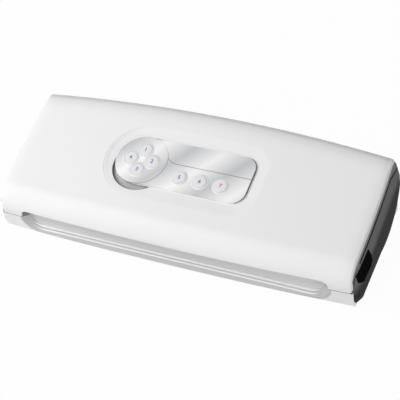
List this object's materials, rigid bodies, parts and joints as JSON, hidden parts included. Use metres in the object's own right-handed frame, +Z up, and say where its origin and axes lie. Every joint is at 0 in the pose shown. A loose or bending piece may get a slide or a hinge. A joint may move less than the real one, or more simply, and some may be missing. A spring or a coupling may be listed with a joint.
{
  "type": "vacuum sealer",
  "caption": "Low household vacuum sealer with a crowned hinged lid, a silver control panel of round push buttons, dark end cheeks with release buttons and a scooped bag mouth.",
  "frame": {"origin": "on the standing surface under the middle of the sealer", "axes": "+Z up, +X along the length to the right, front towards -Y"},
  "size_m": [0.3734, 0.1407, 0.0732],
  "materials": {
    "white_shell": "glossy moulded",
    "grey_guide": "satin moulded",
    "pale_inner": "fine moulded",
    "dark_cheek": "satin moulded",
    "silver_panel": "brushed sheen",
    "button_cap": "satin moulded",
    "black_button": "satin moulded",
    "rubber_black": "matt",
    "silicone": "matt",
    "tape": "woven glass with a slick coat",
    "steel": "bright",
    "board": "lacquered",
    "copper": "enamelled winding",
    "hose": "translucent silicone",
    "clear_tray": "moulded"
  },
  "bodies": {
    "base": {"base_housing": "white_shell", "bag_guide": "grey_guide", "base_deck": "pale_inner", "bottom_cover": "pale_inner", "left_side_panel": "dark_cheek", "right_side_panel": "dark_cheek", "base_hinge_brackets": "pale_inner", "lower_gasket": "rubber_black", "seal_bar": "pale_inner", "heating_strip": "steel", "release_tape": "tape", "drip_tray": "clear_tray", "rubber_feet": "rubber_black", "hinge_pins": "steel", "cover_screws": "steel", "power_board": "board", "pump_motor": "steel", "pump_head": "pale_inner", "pump_cradle": "rubber_black", "vacuum_hose": "hose", "transformer": "copper", "lid_switch": "black_button", "cord_bush": "rubber_black"},
    "lid": {"lid_shell": "white_shell", "left_lid_trim": "dark_cheek", "right_lid_trim": "dark_cheek", "control_panel": "silver_panel", "selector_disc": "silver_panel", "control_board": "board", "lid_inner_panel": "pale_inner", "upper_gasket": "rubber_black", "pressure_strip": "silicone", "latch_hooks": "pale_inner", "lid_hinge_arms": "pale_inner", "lid_screws": "steel"},
    "push_button_1": {"push_button_1": "button_cap"},
    "push_button_2": {"push_button_2": "button_cap"},
    "push_button_3": {"push_button_3": "button_cap"},
    "push_button_4": {"push_button_4": "button_cap"},
    "push_button_5": {"push_button_5": "button_cap"},
    "push_button_6": {"push_button_6": "button_cap"},
    "push_button_7": {"push_button_7": "button_cap"},
    "right_release": {"right_release_button": "black_button", "right_latch_slide": "pale_inner"},
    "left_release": {"left_release_button": "black_button", "left_latch_slide": "pale_inner"}
  },
  "joints": [
    {"name": "lid_hinge", "type": "hinge", "parent": "base", "child": "lid", "pos_m": [0, 0.06095, 0.044], "axis": [-1, 0, 0], "range_deg": [0, 80]},
    {"name": "button_1_press", "type": "slide", "parent": "lid", "child": "push_button_1", "axis": [0, 0.1925, -0.9813], "range_m": [0, 0.001], "stiffness_N_per_m": 600, "springref_m": -0.001},
    {"name": "button_2_press", "type": "slide", "parent": "lid", "child": "push_button_2", "axis": [0, 0.1925, -0.9813], "range_m": [0, 0.001], "stiffness_N_per_m": 600, "springref_m": -0.001},
    {"name": "button_3_press", "type": "slide", "parent": "lid", "child": "push_button_3", "axis": [0, 0.1925, -0.9813], "range_m": [0, 0.001], "stiffness_N_per_m": 600, "springref_m": -0.001},
    {"name": "button_4_press", "type": "slide", "parent": "lid", "child": "push_button_4", "axis": [0, 0.1925, -0.9813], "range_m": [0, 0.001], "stiffness_N_per_m": 600, "springref_m": -0.001},
    {"name": "button_5_press", "type": "slide", "parent": "lid", "child": "push_button_5", "axis": [0, 0.1925, -0.9813], "range_m": [0, 0.001], "stiffness_N_per_m": 600, "springref_m": -0.001},
    {"name": "button_6_press", "type": "slide", "parent": "lid", "child": "push_button_6", "axis": [0, 0.1925, -0.9813], "range_m": [0, 0.001], "stiffness_N_per_m": 600, "springref_m": -0.001},
    {"name": "button_7_press", "type": "slide", "parent": "lid", "child": "push_button_7", "axis": [0, 0.1925, -0.9813], "range_m": [0, 0.001], "stiffness_N_per_m": 600, "springref_m": -0.001},
    {"name": "right_release_press", "type": "slide", "parent": "base", "child": "right_release", "axis": [-1, 0, 0], "range_m": [0, 0.0025], "stiffness_N_per_m": 800, "springref_m": -0.001},
    {"name": "left_release_press", "type": "slide", "parent": "base", "child": "left_release", "axis": [1, 0, 0], "range_m": [0, 0.0025], "stiffness_N_per_m": 800, "springref_m": -0.001}
  ]
}
